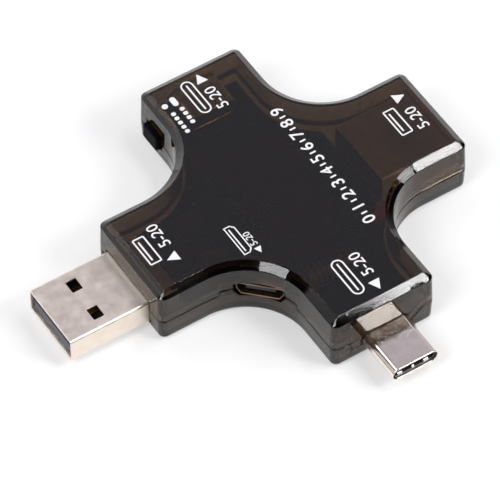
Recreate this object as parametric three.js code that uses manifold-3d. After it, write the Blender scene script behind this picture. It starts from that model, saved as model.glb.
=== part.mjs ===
// In-line USB power meter with a cross-shaped case.
//
// Units are millimetres and +Z is up, towards the display and the printed cover. The origin is the
// centre of the cross on the case's underside.
//   -X  full-size USB plug, input         +X  full-size USB socket, output
//   -Y  Type-C plug, input                +Y  Type-C socket, output
//   The concave corner between -X and -Y holds a micro USB socket, input.
//   The push button is on the +Y arm's -X wall, in front of a side-acting switch.
// The case is two shells that meet at a parting line. A board carries everything inside.

import * as THREE from 'three';
import Module from 'manifold-3d';
import { mergeVertices } from 'three/addons/utils/BufferGeometryUtils.js';

const wasm = await Module();
wasm.setup();

// ---------------------------------------------------------------- driving dimensions

// Case
const ARM_HALF_WIDTH = 9.12;
const ARM_REACH_X = 27.7;
const ARM_REACH_Y = 27.4;
const CORNER_RADIUS = 1.25;
const HOLLOW_RADIUS = 10.4;
const CASE_HEIGHT = 10.35;
const CHAMFER_INSET = 1.45;
const CHAMFER_DROP = 1.12;
const BOTTOM_ROUND = 1.0;
const WALL = 1.2;
const LEAST_CORNER_RADIUS = 0.15;
const CORNER_STEPS = 4;
const HOLLOW_STEPS = 18;
const BOTTOM_ROUND_STEPS = 3;

// Parting line, with a lip on the lower shell that stands inside the upper one
const PARTING_Z = 4.3;
const PARTING_GAP = 0.2;
const LIP_HEIGHT = 0.9;
const LIP_OUTER_INSET = 0.75;
const LIP_CLEARANCE = 0.2;
const MICRO_PARTING_Z = 5.3;
const MICRO_STEP_HALF_WIDTH = 5.9;
const MICRO_STEP_DEPTH = 4;
const TYPE_C_PARTING_Z = 2.6;
const TYPE_C_STEP_HALF_WIDTH = 6.0;
const TYPE_C_STEP_DEPTH = WALL + 0.5;

// Board and its supports
const BOARD_TOP = 3.7;
const BOARD_THICKNESS = 0.8;
const BOARD_INSET = 1.6;
const BOARD_END_MINUS_X = 22.2;
const BOARD_END_PLUS_X = 13.0;
const BOARD_END_MINUS_Y = 23.9;
const BOARD_END_PLUS_Y = 25.4;
const POST = { radius: 1.3, x: 10.2, y: 7.35, root: 0.4, sides: 12 };

// Fits
const REST_GAP = 0.1;
const CONTACT_GAP = 0.05;
const HOLE_CLEARANCE = 0.25;
const HOLE_DEPTH = WALL + 1.5;
const A_HOLE_RADIUS = 0.55;

// How far a cutter runs past the surface that it cuts, and how far joined solids reach into each other
const OVERRUN = 1;
const JOIN = 0.5;
const EVERYWHERE = 60;

// Full-size USB plug
const A_PLUG = {
  width: 12,
  height: 4.5,
  sheet: 0.3,
  radius: 0.45,
  reach: 41.3,
  shift: -0.3,
  z: 3.6,
  length: 18.8,
};
const A_WINDOW = { fromTip: 5.2, length: 1.8, inner: 1.9, width: 2.3 };
const A_TONGUE = { thickness: 1.95, setBack: 0.5, length: 11.6 };
const A_CONTACT = { width: 1.1, thickness: 0.15, setBack: 1.2, length: 8.4, places: [-3.5, -1.0, 1.0, 3.5] };

// Full-size USB socket
const A_SOCKET = { width: 13.1, height: 5.7, sheet: 0.29, radius: 0.5, reach: 27.55, z: 4.65, length: 14 };
const A_SOCKET_HEEL_SET_BACK = 0.2;
const A_SOCKET_TONGUE = { width: 11.1, thickness: 1.84, fromRoof: 0.65, setBack: 1.4, length: 8.9 };
const A_SOCKET_CONTACT = { width: 1.0, thickness: 0.2, setBack: 2.2, length: 7.4 };

// Type-C plug and socket
const C_PLUG = { width: 8.25, height: 2.4, sheet: 0.22, reach: 35.5, z: 3.5, length: 11.2 };
const C_PLUG_INSERT = { clearance: 0.08, setBack: 0.35, backSetBack: 0.3 };
const C_PLUG_SLOT = { width: 6.9, height: 0.9, depth: 5.2, radius: 0.2 };
const C_SOCKET = { width: 8.94, height: 3.16, sheet: 0.3, reach: 27.3, z: 5.38, length: 7.3 };
const C_SOCKET_TONGUE = { width: 6.69, thickness: 0.7, radius: 0.2, setBack: 0.9, baseLength: 2 };

// Micro USB socket
const MICRO = { width: 7.5, height: 2.46, sheet: 0.28, reach: 17.35, z: 5.0, length: 5.2 };
const MICRO_FOOT = { width: 6.0, shoulder: 1.25 };
const MICRO_TONGUE = { width: 4.6, thickness: 0.6, setBack: 0.6, baseLength: 1.3, drop: 0.1 };

// Button and switch
const BUTTON = { y: 22.65, z: 4.5, width: 4.0, height: 3.2, proud: 0.85, radius: 0.5 };
const BUTTON_FLANGE = { face: 7.55, thickness: 0.45, margin: 0.5, overBoard: 0.3, clearOfBoard: 0.55 };
const SWITCH = { front: 6.35, depth: 1.5, width: 4.6, height: 2.7 };
const PLUNGER = { front: 6.85, length: 1.0, width: 1.6, height: 0.9, clearance: 0.15, pocket: 0.9 };

// Indicator lamp, placed by the direction from the corner's centre to it
const LED = { width: 3.2, depth: 1.6, height: 1.9, fromEdge: 1.0, angle: 131 };

// Display
const DISPLAY = { x: -1.75, width: 13.5, length: 27.6, glassTop: 8.85, glass: 0.7, frame: 1.3, rim: 0.5 };
const FLEX = { width: 8, thickness: 0.2, gap: 0.15, straight: 1.2, foot: 3.0, aboveFrameFloor: 0.5 };

// ---------------------------------------------------------------- geometry helpers

function toSolid(geometry) {
  const bare = geometry.index ? geometry.toNonIndexed() : geometry.clone();
  bare.deleteAttribute('normal');
  bare.deleteAttribute('uv');
  const merged = mergeVertices(bare, 1e-4);
  return new wasm.Manifold(
    new wasm.Mesh({
      numProp: 3,
      vertProperties: new Float32Array(merged.attributes.position.array),
      triVerts: new Uint32Array(merged.index.array),
    }),
  );
}

function toGeometry(solid) {
  const mesh = solid.getMesh();
  const positions = new Float32Array(mesh.numVert * 3);
  for (let vertex = 0; vertex < mesh.numVert; vertex += 1) {
    for (let axis = 0; axis < 3; axis += 1) {
      positions[vertex * 3 + axis] = mesh.vertProperties[vertex * mesh.numProp + axis];
    }
  }
  const geometry = new THREE.BufferGeometry();
  geometry.setAttribute('position', new THREE.BufferAttribute(positions, 3));
  geometry.setIndex(new THREE.BufferAttribute(new Uint32Array(mesh.triVerts), 1));
  geometry.computeVertexNormals();
  return geometry;
}

function block(x0, x1, y0, y1, z0, z1) {
  const geometry = new THREE.BoxGeometry(x1 - x0, y1 - y0, z1 - z0);
  geometry.translate((x0 + x1) / 2, (y0 + y1) / 2, (z0 + z1) / 2);
  return geometry;
}

// A block centred on x and y that stands on z.
function standingBlock(x, y, z, sizeX, sizeY, sizeZ) {
  return block(x - sizeX / 2, x + sizeX / 2, y - sizeY / 2, y + sizeY / 2, z, z + sizeZ);
}

function roundedRectangle(width, height, radius) {
  const x = width / 2;
  const y = height / 2;
  const r = Math.min(radius, y - 0.001, x - 0.001);
  const shape = new THREE.Shape();
  shape.moveTo(-x + r, -y);
  shape.lineTo(x - r, -y);
  shape.absarc(x - r, -y + r, r, -Math.PI / 2, 0, false);
  shape.lineTo(x, y - r);
  shape.absarc(x - r, y - r, r, 0, Math.PI / 2, false);
  shape.lineTo(-x + r, y);
  shape.absarc(-x + r, y - r, r, Math.PI / 2, Math.PI, false);
  shape.lineTo(-x, -y + r);
  shape.absarc(-x + r, -y + r, r, Math.PI, Math.PI * 1.5, false);
  return shape;
}

// Extrudes a profile from local z = from to local z = to.
function prism(shape, from, to, curveSegments = 4) {
  const geometry = new THREE.ExtrudeGeometry(shape, { depth: to - from, bevelEnabled: false, curveSegments });
  geometry.translate(0, 0, from);
  return geometry;
}

// A port's own axes: x across the mouth, y up, z out of the case. Its origin is the mouth's centre.
function portFrame(angleDegrees, reach, z, shift = 0) {
  const angle = THREE.MathUtils.degToRad(angleDegrees);
  const outward = new THREE.Vector3(Math.cos(angle), Math.sin(angle), 0);
  const across = new THREE.Vector3(-Math.sin(angle), Math.cos(angle), 0);
  const frame = new THREE.Matrix4().makeBasis(across, new THREE.Vector3(0, 0, 1), outward);
  const origin = outward.multiplyScalar(reach).addScaledVector(across, shift);
  return frame.setPosition(origin.x, origin.y, z);
}

function inFrame(geometry, frame) {
  return geometry.applyMatrix4(frame);
}

// The case's plan outline, pulled in by inset, as points in order. Every inset gives equally many
// points, so outlines at different heights can be joined point to point.
function crossOutline(inset) {
  const half = ARM_HALF_WIDTH - inset;
  const hollowCentre = ARM_HALF_WIDTH + HOLLOW_RADIUS;
  const hollow = HOLLOW_RADIUS + inset;
  const corner = Math.max(CORNER_RADIUS - inset, LEAST_CORNER_RADIUS);
  const points = [];
  const arc = (x, y, radius, start, turn, steps) => {
    for (let step = 0; step <= steps; step += 1) {
      const angle = start + (turn * step) / steps;
      points.push(new THREE.Vector2(x + radius * Math.cos(angle), y + radius * Math.sin(angle)));
    }
  };
  for (let quarter = 0; quarter < 4; quarter += 1) {
    const start = (quarter * Math.PI) / 2;
    const reach = (quarter % 2 === 0 ? ARM_REACH_X : ARM_REACH_Y) - inset;
    const cos = Math.cos(start);
    const sin = Math.sin(start);
    const place = (along, side) => [along * cos - side * sin, along * sin + side * cos];
    for (const side of [-1, 1]) {
      const [x, y] = place(reach - corner, side * (half - corner));
      arc(x, y, corner, start + (side < 0 ? -Math.PI / 2 : 0), Math.PI / 2, CORNER_STEPS);
    }
    const [x, y] = place(hollowCentre, hollowCentre);
    arc(x, y, hollow, start - Math.PI / 2, -Math.PI / 2, HOLLOW_STEPS);
  }
  return points;
}

// A closed body through the outline at each level, from the lowest level to the highest.
function crossBody(levels) {
  const rings = levels.map(({ z, inset }) => crossOutline(inset).map((p) => [p.x, p.y, z]));
  const count = rings[0].length;
  const index = [];
  for (let level = 0; level + 1 < rings.length; level += 1) {
    for (let i = 0; i < count; i += 1) {
      const a = level * count + i;
      const b = level * count + ((i + 1) % count);
      index.push(a, b, b + count, a, b + count, a + count);
    }
  }
  const lid = THREE.ShapeUtils.triangulateShape(crossOutline(levels[0].inset), []);
  const top = (rings.length - 1) * count;
  for (const [a, b, c] of lid) {
    index.push(a, c, b, top + a, top + b, top + c);
  }
  const geometry = new THREE.BufferGeometry();
  geometry.setAttribute('position', new THREE.Float32BufferAttribute(rings.flat(2), 3));
  geometry.setIndex(index);
  return geometry;
}

function crossSlab(z0, z1, inset) {
  return crossBody([{ z: z0, inset }, { z: z1, inset }]);
}

// ---------------------------------------------------------------- ports

const PORTS = {
  aPlug: portFrame(180, A_PLUG.reach, A_PLUG.z, A_PLUG.shift),
  aSocket: portFrame(0, A_SOCKET.reach, A_SOCKET.z),
  cPlug: portFrame(-90, C_PLUG.reach, C_PLUG.z),
  cSocket: portFrame(90, C_SOCKET.reach, C_SOCKET.z),
  micro: portFrame(-135, MICRO.reach, MICRO.z),
};

// The micro USB profile, pulled in evenly by inset: wide at the top, with slanted lower corners.
function microProfile(inset) {
  const run = (MICRO.width - MICRO_FOOT.width) / 2;
  const rise = MICRO_FOOT.shoulder;
  const slant = Math.hypot(run, rise);
  const x = MICRO.width / 2 - inset;
  const y = MICRO.height / 2 - inset;
  const footX = MICRO_FOOT.width / 2 - (inset * (slant - run)) / rise;
  const shoulderY = -MICRO.height / 2 + rise + (inset * (slant - rise)) / run;
  const shape = new THREE.Shape();
  shape.moveTo(-footX, -y);
  shape.lineTo(footX, -y);
  shape.lineTo(x, shoulderY);
  shape.lineTo(x, y);
  shape.lineTo(-x, y);
  shape.lineTo(-x, shoulderY);
  shape.closePath();
  return shape;
}

// The holes that the ports and the button need through the case's walls.
function caseHoles() {
  const room = HOLE_CLEARANCE * 2;
  const hole = (size, radius, frame, mouthDepth) => {
    const shape = roundedRectangle(size.width + room, size.height + room, radius);
    return toSolid(inFrame(prism(shape, -mouthDepth - HOLE_DEPTH, -mouthDepth + OVERRUN), frame));
  };
  const holes = [
    hole(A_PLUG, A_HOLE_RADIUS, PORTS.aPlug, A_PLUG.reach - ARM_REACH_X),
    hole(A_SOCKET, A_HOLE_RADIUS, PORTS.aSocket, 0),
    hole(C_PLUG, C_PLUG.height, PORTS.cPlug, C_PLUG.reach - ARM_REACH_Y),
    hole(C_SOCKET, C_SOCKET.height, PORTS.cSocket, 0),
    toSolid(inFrame(prism(microProfile(-HOLE_CLEARANCE), -HOLE_DEPTH, OVERRUN * 2), PORTS.micro)),
    toSolid(
      block(
        -ARM_HALF_WIDTH - OVERRUN,
        -ARM_HALF_WIDTH + HOLE_DEPTH,
        BUTTON.y - BUTTON.width / 2 - HOLE_CLEARANCE,
        BUTTON.y + BUTTON.width / 2 + HOLE_CLEARANCE,
        BUTTON.z - BUTTON.height / 2 - HOLE_CLEARANCE,
        BUTTON.z + BUTTON.height / 2 + HOLE_CLEARANCE,
      ),
    ),
  ];
  return holes.reduce((all, one) => all.add(one));
}

// ---------------------------------------------------------------- case

function roundedBottomLevels(steps) {
  const levels = [];
  for (let step = 0; step <= steps; step += 1) {
    const angle = (step / steps) * (Math.PI / 2);
    levels.push({ z: BOTTOM_ROUND * (1 - Math.cos(angle)), inset: BOTTOM_ROUND * (1 - Math.sin(angle)) });
  }
  return levels;
}

// Everything below the parting line, moved up by half the gap or down by it. The line steps up at
// the micro USB socket and down at the Type-C plug.
function belowParting(shift) {
  const far = EVERYWHERE;
  const slab = toSolid(block(-far, far, -far, far, -OVERRUN, PARTING_Z + shift));
  const microStep = toSolid(
    inFrame(
      block(
        -MICRO_STEP_HALF_WIDTH,
        MICRO_STEP_HALF_WIDTH,
        PARTING_Z - MICRO.z - OVERRUN,
        MICRO_PARTING_Z - MICRO.z + shift,
        -MICRO_STEP_DEPTH,
        MICRO_STEP_DEPTH,
      ),
      PORTS.micro,
    ),
  );
  const typeCStep = toSolid(
    block(
      -TYPE_C_STEP_HALF_WIDTH,
      TYPE_C_STEP_HALF_WIDTH,
      -ARM_REACH_Y - OVERRUN,
      -ARM_REACH_Y + TYPE_C_STEP_DEPTH,
      TYPE_C_PARTING_Z + shift,
      PARTING_Z + OVERRUN,
    ),
  );
  return slab.add(microStep).subtract(typeCStep);
}

function caseShell() {
  const wallTop = CASE_HEIGHT - CHAMFER_DROP;
  const outer = toSolid(
    crossBody([
      ...roundedBottomLevels(BOTTOM_ROUND_STEPS),
      { z: wallTop, inset: 0 },
      { z: CASE_HEIGHT, inset: CHAMFER_INSET },
    ]),
  );
  return outer.subtract(toSolid(crossSlab(WALL, CASE_HEIGHT - WALL, WALL)));
}

function topCover(shell, holes) {
  const reliefTop = PARTING_Z + LIP_HEIGHT + LIP_CLEARANCE;
  const relief = toSolid(crossSlab(WALL, reliefTop, LIP_OUTER_INSET - LIP_CLEARANCE));
  return toGeometry(shell.subtract(belowParting(PARTING_GAP / 2)).subtract(relief).subtract(holes));
}

function bottomCover(shell, holes) {
  const lipOuter = toSolid(crossSlab(PARTING_Z - OVERRUN, PARTING_Z + LIP_HEIGHT, LIP_OUTER_INSET));
  const lip = lipOuter.subtract(toSolid(crossSlab(WALL, PARTING_Z + LIP_HEIGHT + OVERRUN, WALL)));
  const typeCRoom = toSolid(
    block(
      -TYPE_C_STEP_HALF_WIDTH - LIP_CLEARANCE,
      TYPE_C_STEP_HALF_WIDTH + LIP_CLEARANCE,
      -ARM_REACH_Y - OVERRUN,
      -ARM_REACH_Y + WALL + OVERRUN,
      TYPE_C_PARTING_Z,
      PARTING_Z + LIP_HEIGHT + OVERRUN,
    ),
  );
  const postTop = BOARD_TOP - BOARD_THICKNESS - REST_GAP;
  const postBottom = WALL - POST.root;
  let tray = shell.intersect(belowParting(-PARTING_GAP / 2)).add(lip).subtract(typeCRoom).subtract(holes);
  for (const [signX, signY] of [[1, 1], [1, -1], [-1, 1], [-1, -1]]) {
    const post = new THREE.CylinderGeometry(POST.radius, POST.radius, postTop - postBottom, POST.sides);
    post.rotateX(Math.PI / 2);
    post.translate(signX * POST.x, signY * POST.y, (postTop + postBottom) / 2);
    tray = tray.add(toSolid(post));
  }
  return toGeometry(tray);
}

// ---------------------------------------------------------------- board

function mainBoard() {
  const bottom = BOARD_TOP - BOARD_THICKNESS;
  const blank = toSolid(crossSlab(bottom, BOARD_TOP, BOARD_INSET));
  const outline = toSolid(
    block(
      -BOARD_END_MINUS_X,
      BOARD_END_PLUS_X,
      -BOARD_END_MINUS_Y,
      BOARD_END_PLUS_Y,
      bottom - OVERRUN,
      BOARD_TOP + OVERRUN,
    ),
  );
  return toGeometry(blank.intersect(outline));
}

// ---------------------------------------------------------------- full-size USB plug

function sheetTube(size, radius, from, to) {
  const outer = toSolid(prism(roundedRectangle(size.width, size.height, radius), from, to));
  const inside = roundedRectangle(
    size.width - size.sheet * 2,
    size.height - size.sheet * 2,
    Math.max(radius - size.sheet, LEAST_CORNER_RADIUS),
  );
  return outer.subtract(toSolid(prism(inside, from - OVERRUN, to + OVERRUN)));
}

function usbAPlugShell() {
  let shell = sheetTube(A_PLUG, A_PLUG.radius, -A_PLUG.length, 0);
  const back = -A_WINDOW.fromTip - A_WINDOW.length;
  for (const side of [-1, 1]) {
    const near = side * A_WINDOW.inner;
    const far = side * (A_WINDOW.inner + A_WINDOW.width);
    const window = block(
      Math.min(near, far),
      Math.max(near, far),
      -A_PLUG.height,
      A_PLUG.height,
      back,
      -A_WINDOW.fromTip,
    );
    shell = shell.subtract(toSolid(window));
  }
  return inFrame(toGeometry(shell), PORTS.aPlug);
}

const A_TONGUE_FLOOR = -A_PLUG.height / 2 + A_PLUG.sheet + REST_GAP;
const A_TONGUE_TOP = A_TONGUE_FLOOR + A_TONGUE.thickness - REST_GAP;

function usbAPlugInsulator() {
  const half = A_PLUG.width / 2 - A_PLUG.sheet - REST_GAP;
  const tongueFront = -A_TONGUE.setBack;
  const tongueBack = tongueFront - A_TONGUE.length;
  const tongue = toSolid(block(-half, half, A_TONGUE_FLOOR, A_TONGUE_TOP, tongueBack - JOIN, tongueFront));
  const heel = toSolid(block(-half, half, A_TONGUE_FLOOR, -A_TONGUE_FLOOR, -A_PLUG.length, tongueBack));
  return inFrame(toGeometry(tongue.add(heel)), PORTS.aPlug);
}

function usbAPlugContact(place) {
  const bottom = A_TONGUE_TOP + CONTACT_GAP;
  const front = -A_CONTACT.setBack;
  return inFrame(
    block(
      place - A_CONTACT.width / 2,
      place + A_CONTACT.width / 2,
      bottom,
      bottom + A_CONTACT.thickness,
      front - A_CONTACT.length,
      front,
    ),
    PORTS.aPlug,
  );
}

// ---------------------------------------------------------------- full-size USB socket

const A_SOCKET_TONGUE_TOP = A_SOCKET.height / 2 - A_SOCKET.sheet - A_SOCKET_TONGUE.fromRoof;
const A_SOCKET_TONGUE_BOTTOM = A_SOCKET_TONGUE_TOP - A_SOCKET_TONGUE.thickness;

function usbASocketShell() {
  return inFrame(toGeometry(sheetTube(A_SOCKET, A_SOCKET.radius, -A_SOCKET.length, 0)), PORTS.aSocket);
}

function usbASocketInsulator() {
  const half = A_SOCKET.width / 2 - A_SOCKET.sheet - REST_GAP;
  const inner = A_SOCKET.height / 2 - A_SOCKET.sheet - REST_GAP;
  const heelFront = -A_SOCKET_TONGUE.setBack - A_SOCKET_TONGUE.length;
  const heelBack = -A_SOCKET.length + A_SOCKET_HEEL_SET_BACK;
  const heel = toSolid(block(-half, half, -inner, inner, heelBack, heelFront));
  const tongue = toSolid(
    block(
      -A_SOCKET_TONGUE.width / 2,
      A_SOCKET_TONGUE.width / 2,
      A_SOCKET_TONGUE_BOTTOM,
      A_SOCKET_TONGUE_TOP,
      heelFront - JOIN,
      -A_SOCKET_TONGUE.setBack,
    ),
  );
  return inFrame(toGeometry(heel.add(tongue)), PORTS.aSocket);
}

function usbASocketContact(place) {
  const top = A_SOCKET_TONGUE_BOTTOM - CONTACT_GAP;
  const front = -A_SOCKET_CONTACT.setBack;
  return inFrame(
    block(
      place - A_SOCKET_CONTACT.width / 2,
      place + A_SOCKET_CONTACT.width / 2,
      top - A_SOCKET_CONTACT.thickness,
      top,
      front - A_SOCKET_CONTACT.length,
      front,
    ),
    PORTS.aSocket,
  );
}

// ---------------------------------------------------------------- Type-C plug and socket

function typeCPlugShell() {
  return inFrame(toGeometry(sheetTube(C_PLUG, C_PLUG.height / 2, -C_PLUG.length, 0)), PORTS.cPlug);
}

function typeCPlugInsert() {
  const margin = (C_PLUG.sheet + C_PLUG_INSERT.clearance) * 2;
  const body = roundedRectangle(C_PLUG.width - margin, C_PLUG.height - margin, C_PLUG.height);
  const slot = roundedRectangle(C_PLUG_SLOT.width, C_PLUG_SLOT.height, C_PLUG_SLOT.radius);
  const back = -C_PLUG.length + C_PLUG_INSERT.backSetBack;
  const insert = toSolid(prism(body, back, -C_PLUG_INSERT.setBack));
  return inFrame(toGeometry(insert.subtract(toSolid(prism(slot, -C_PLUG_SLOT.depth, OVERRUN)))), PORTS.cPlug);
}

function typeCSocketShell() {
  return inFrame(toGeometry(sheetTube(C_SOCKET, C_SOCKET.height / 2, -C_SOCKET.length, 0)), PORTS.cSocket);
}

function typeCSocketInsulator() {
  const margin = (C_SOCKET.sheet + REST_GAP) * 2;
  const base = roundedRectangle(C_SOCKET.width - margin, C_SOCKET.height - margin, C_SOCKET.height);
  const baseFront = -C_SOCKET.length + C_SOCKET_TONGUE.baseLength;
  const tongue = roundedRectangle(C_SOCKET_TONGUE.width, C_SOCKET_TONGUE.thickness, C_SOCKET_TONGUE.radius);
  const solid = toSolid(prism(base, -C_SOCKET.length + REST_GAP, baseFront));
  return inFrame(
    toGeometry(solid.add(toSolid(prism(tongue, baseFront - JOIN, -C_SOCKET_TONGUE.setBack)))),
    PORTS.cSocket,
  );
}

// ---------------------------------------------------------------- micro USB socket

function microShell() {
  const solid = toSolid(prism(microProfile(0), -MICRO.length, 0));
  const inside = toSolid(prism(microProfile(MICRO.sheet), -MICRO.length - OVERRUN, OVERRUN));
  return inFrame(toGeometry(solid.subtract(inside)), PORTS.micro);
}

function microInsulator() {
  const base = microProfile(MICRO.sheet + REST_GAP);
  const baseFront = -MICRO.length + MICRO_TONGUE.baseLength;
  const solid = toSolid(prism(base, -MICRO.length + REST_GAP, baseFront));
  const middle = -MICRO_TONGUE.drop;
  const tongue = block(
    -MICRO_TONGUE.width / 2,
    MICRO_TONGUE.width / 2,
    middle - MICRO_TONGUE.thickness / 2,
    middle + MICRO_TONGUE.thickness / 2,
    baseFront - JOIN,
    -MICRO_TONGUE.setBack,
  );
  return inFrame(toGeometry(solid.add(toSolid(tongue))), PORTS.micro);
}

// ---------------------------------------------------------------- button and switch

// A profile drawn across Y and up Z, extruded towards -X from x = -back to x = -front.
function sidePrism(shape, y, z, back, front) {
  const frame = portFrame(180, 0, z, -y);
  return inFrame(prism(shape, back, front), frame);
}

// The stem fills the hole in the wall. A flange behind the wall keeps the cap in, and it stands clear
// of the board's edge.
function buttonCap() {
  const front = ARM_HALF_WIDTH + BUTTON.proud;
  const face = roundedRectangle(BUTTON.width, BUTTON.height, BUTTON.radius);
  const stem = toSolid(sidePrism(face, BUTTON.y, BUTTON.z, BUTTON_FLANGE.face - JOIN / 2, front));
  const flangeBottom = BOARD_TOP + BUTTON_FLANGE.overBoard;
  const flangeTop = BUTTON.z + BUTTON.height / 2 + BUTTON_FLANGE.margin;
  const flangeShape = roundedRectangle(
    BUTTON.width + BUTTON_FLANGE.margin * 2,
    flangeTop - flangeBottom,
    BUTTON.radius,
  );
  const flangeBack = BUTTON_FLANGE.face - BUTTON_FLANGE.thickness;
  const flange = toSolid(
    sidePrism(flangeShape, BUTTON.y, (flangeTop + flangeBottom) / 2, flangeBack, BUTTON_FLANGE.face),
  );
  const boardRoom = block(
    BOARD_INSET - ARM_HALF_WIDTH - BUTTON_FLANGE.clearOfBoard,
    0,
    BUTTON.y - BUTTON.width,
    BUTTON.y + BUTTON.width,
    0,
    flangeBottom,
  );
  return toGeometry(stem.add(flange).subtract(toSolid(boardRoom)));
}

function switchBody() {
  const z = BOARD_TOP + REST_GAP;
  const body = block(
    -SWITCH.front,
    -SWITCH.front + SWITCH.depth,
    BUTTON.y - SWITCH.width / 2,
    BUTTON.y + SWITCH.width / 2,
    z,
    z + SWITCH.height,
  );
  const halfWidth = PLUNGER.width / 2 + PLUNGER.clearance;
  const halfHeight = PLUNGER.height / 2 + PLUNGER.clearance;
  const middle = z + SWITCH.height / 2;
  const pocket = block(
    -SWITCH.front - OVERRUN,
    -SWITCH.front + PLUNGER.pocket,
    BUTTON.y - halfWidth,
    BUTTON.y + halfWidth,
    middle - halfHeight,
    middle + halfHeight,
  );
  return toGeometry(toSolid(body).subtract(toSolid(pocket)));
}

function switchPlunger() {
  const middle = BOARD_TOP + REST_GAP + SWITCH.height / 2;
  return block(
    -PLUNGER.front,
    -PLUNGER.front + PLUNGER.length,
    BUTTON.y - PLUNGER.width / 2,
    BUTTON.y + PLUNGER.width / 2,
    middle - PLUNGER.height / 2,
    middle + PLUNGER.height / 2,
  );
}

// ---------------------------------------------------------------- display

const DISPLAY_FRAME_TOP = DISPLAY.glassTop - DISPLAY.glass - REST_GAP;
const DISPLAY_FRAME_BOTTOM = DISPLAY_FRAME_TOP - DISPLAY.frame;

function displayGlass() {
  const z = DISPLAY.glassTop - DISPLAY.glass;
  return standingBlock(DISPLAY.x, 0, z, DISPLAY.width, DISPLAY.length, DISPLAY.glass);
}

function displayFrame() {
  const outer = toSolid(
    standingBlock(DISPLAY.x, 0, DISPLAY_FRAME_BOTTOM, DISPLAY.width, DISPLAY.length, DISPLAY.frame),
  );
  const recess = standingBlock(
    DISPLAY.x,
    0,
    DISPLAY_FRAME_BOTTOM + DISPLAY.frame / 2,
    DISPLAY.width - DISPLAY.rim * 2,
    DISPLAY.length - DISPLAY.rim * 2,
    DISPLAY.frame,
  );
  return toGeometry(outer.subtract(toSolid(recess)));
}

// The ribbon leaves the frame's -Y end, turns down in a half circle and lies on the board.
function displayFlex() {
  const top = DISPLAY_FRAME_BOTTOM + FLEX.aboveFrameFloor;
  const bottom = BOARD_TOP + REST_GAP + FLEX.thickness / 2;
  const middle = (top + bottom) / 2;
  const radius = (top - bottom) / 2;
  const start = -DISPLAY.length / 2 - FLEX.gap;
  const bend = start - FLEX.straight;
  const end = bend + FLEX.foot;
  const half = FLEX.thickness / 2;
  const shape = new THREE.Shape();
  shape.moveTo(start, top + half);
  shape.lineTo(bend, top + half);
  shape.absarc(bend, middle, radius + half, Math.PI / 2, Math.PI * 1.5, false);
  shape.lineTo(end, bottom - half);
  shape.lineTo(end, bottom + half);
  shape.lineTo(bend, bottom + half);
  shape.absarc(bend, middle, radius - half, Math.PI * 1.5, Math.PI / 2, true);
  shape.lineTo(start, top - half);
  shape.closePath();
  const geometry = prism(shape, -FLEX.width / 2, FLEX.width / 2, 8);
  const turn = new THREE.Matrix4().makeBasis(
    new THREE.Vector3(0, 1, 0),
    new THREE.Vector3(0, 0, 1),
    new THREE.Vector3(1, 0, 0),
  );
  geometry.applyMatrix4(turn);
  geometry.translate(DISPLAY.x, 0, 0);
  return geometry;
}

// ---------------------------------------------------------------- board components

const BOARD_PARTS = [
  { name: 'microcontroller', x: -1.5, y: -1.5, size: [7, 7, 1.3], color: 0x18181a },
  { name: 'crystal', x: -1.5, y: 5.4, size: [3.2, 5, 1.1], color: 0xb9bcc0, metal: 1 },
  { name: 'shunt_resistor', x: 9.6, y: 0, size: [3.2, 6.4, 0.7], color: 0x141416 },
  { name: 'voltage_regulator', x: -14.4, y: 4.2, size: [4.5, 4, 1.5], color: 0x151515 },
  { name: 'filter_inductor', x: -19.6, y: 0, size: [4.2, 4.2, 2.6], color: 0x2b2b2d },
  { name: 'tantalum_capacitor_input', x: -15.2, y: -3.4, size: [3.5, 2.8, 1.9], color: 0xc98a2c },
  { name: 'tantalum_capacitor_output', x: 5.6, y: 5.8, size: [3.5, 2.8, 1.9], color: 0xc98a2c },
  { name: 'power_switch_chip', x: 2.2, y: 12.6, size: [5, 4, 1.5], color: 0x161618 },
  { name: 'protocol_chip', x: 1.5, y: -8.6, size: [4, 4, 0.9], color: 0x161618 },
];

function boardPart(part) {
  return standingBlock(part.x, part.y, BOARD_TOP + REST_GAP, ...part.size);
}

// A red indicator lamp at the board's edge in the concave corner between +X and -Y, square to the corner
function indicatorLed() {
  const centre = ARM_HALF_WIDTH + HOLLOW_RADIUS;
  const distance = HOLLOW_RADIUS + BOARD_INSET + LED.fromEdge;
  const angle = THREE.MathUtils.degToRad(LED.angle);
  const geometry = standingBlock(0, 0, BOARD_TOP + REST_GAP, LED.depth, LED.width, LED.height);
  geometry.rotateZ(angle);
  geometry.translate(centre + distance * Math.cos(angle), -centre + distance * Math.sin(angle), 0);
  return geometry;
}

// ---------------------------------------------------------------- assembly

const meter = new THREE.Group();

function addPiece(name, geometry, color, roughness = 0.5, metalness = 0) {
  const material = new THREE.MeshStandardMaterial({ color, roughness, metalness });
  const mesh = new THREE.Mesh(geometry, material);
  mesh.name = name;
  meter.add(mesh);
}

const SMOKED = 0x35322f;
const NICKEL = 0xcabbb4;
const GOLD = 0xd0a850;
const INSULATOR = 0x24262b;

const shell = caseShell();
const holes = caseHoles();
addPiece('top_cover', topCover(shell, holes), SMOKED, 0.12);
addPiece('bottom_cover', bottomCover(shell, holes), SMOKED, 0.15);
addPiece('main_board', mainBoard(), 0x101216, 0.45);

addPiece('usb_a_plug_shell', usbAPlugShell(), NICKEL, 0.25, 1);
addPiece('usb_a_plug_insulator', usbAPlugInsulator(), INSULATOR);
A_CONTACT.places.forEach((place, index) => {
  addPiece(`usb_a_plug_contact_${index + 1}`, usbAPlugContact(place), GOLD, 0.3, 1);
});

addPiece('usb_a_socket_shell', usbASocketShell(), NICKEL, 0.3, 1);
addPiece('usb_a_socket_insulator', usbASocketInsulator(), INSULATOR);
A_CONTACT.places.forEach((place, index) => {
  addPiece(`usb_a_socket_contact_${index + 1}`, usbASocketContact(place), GOLD, 0.3, 1);
});

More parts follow.
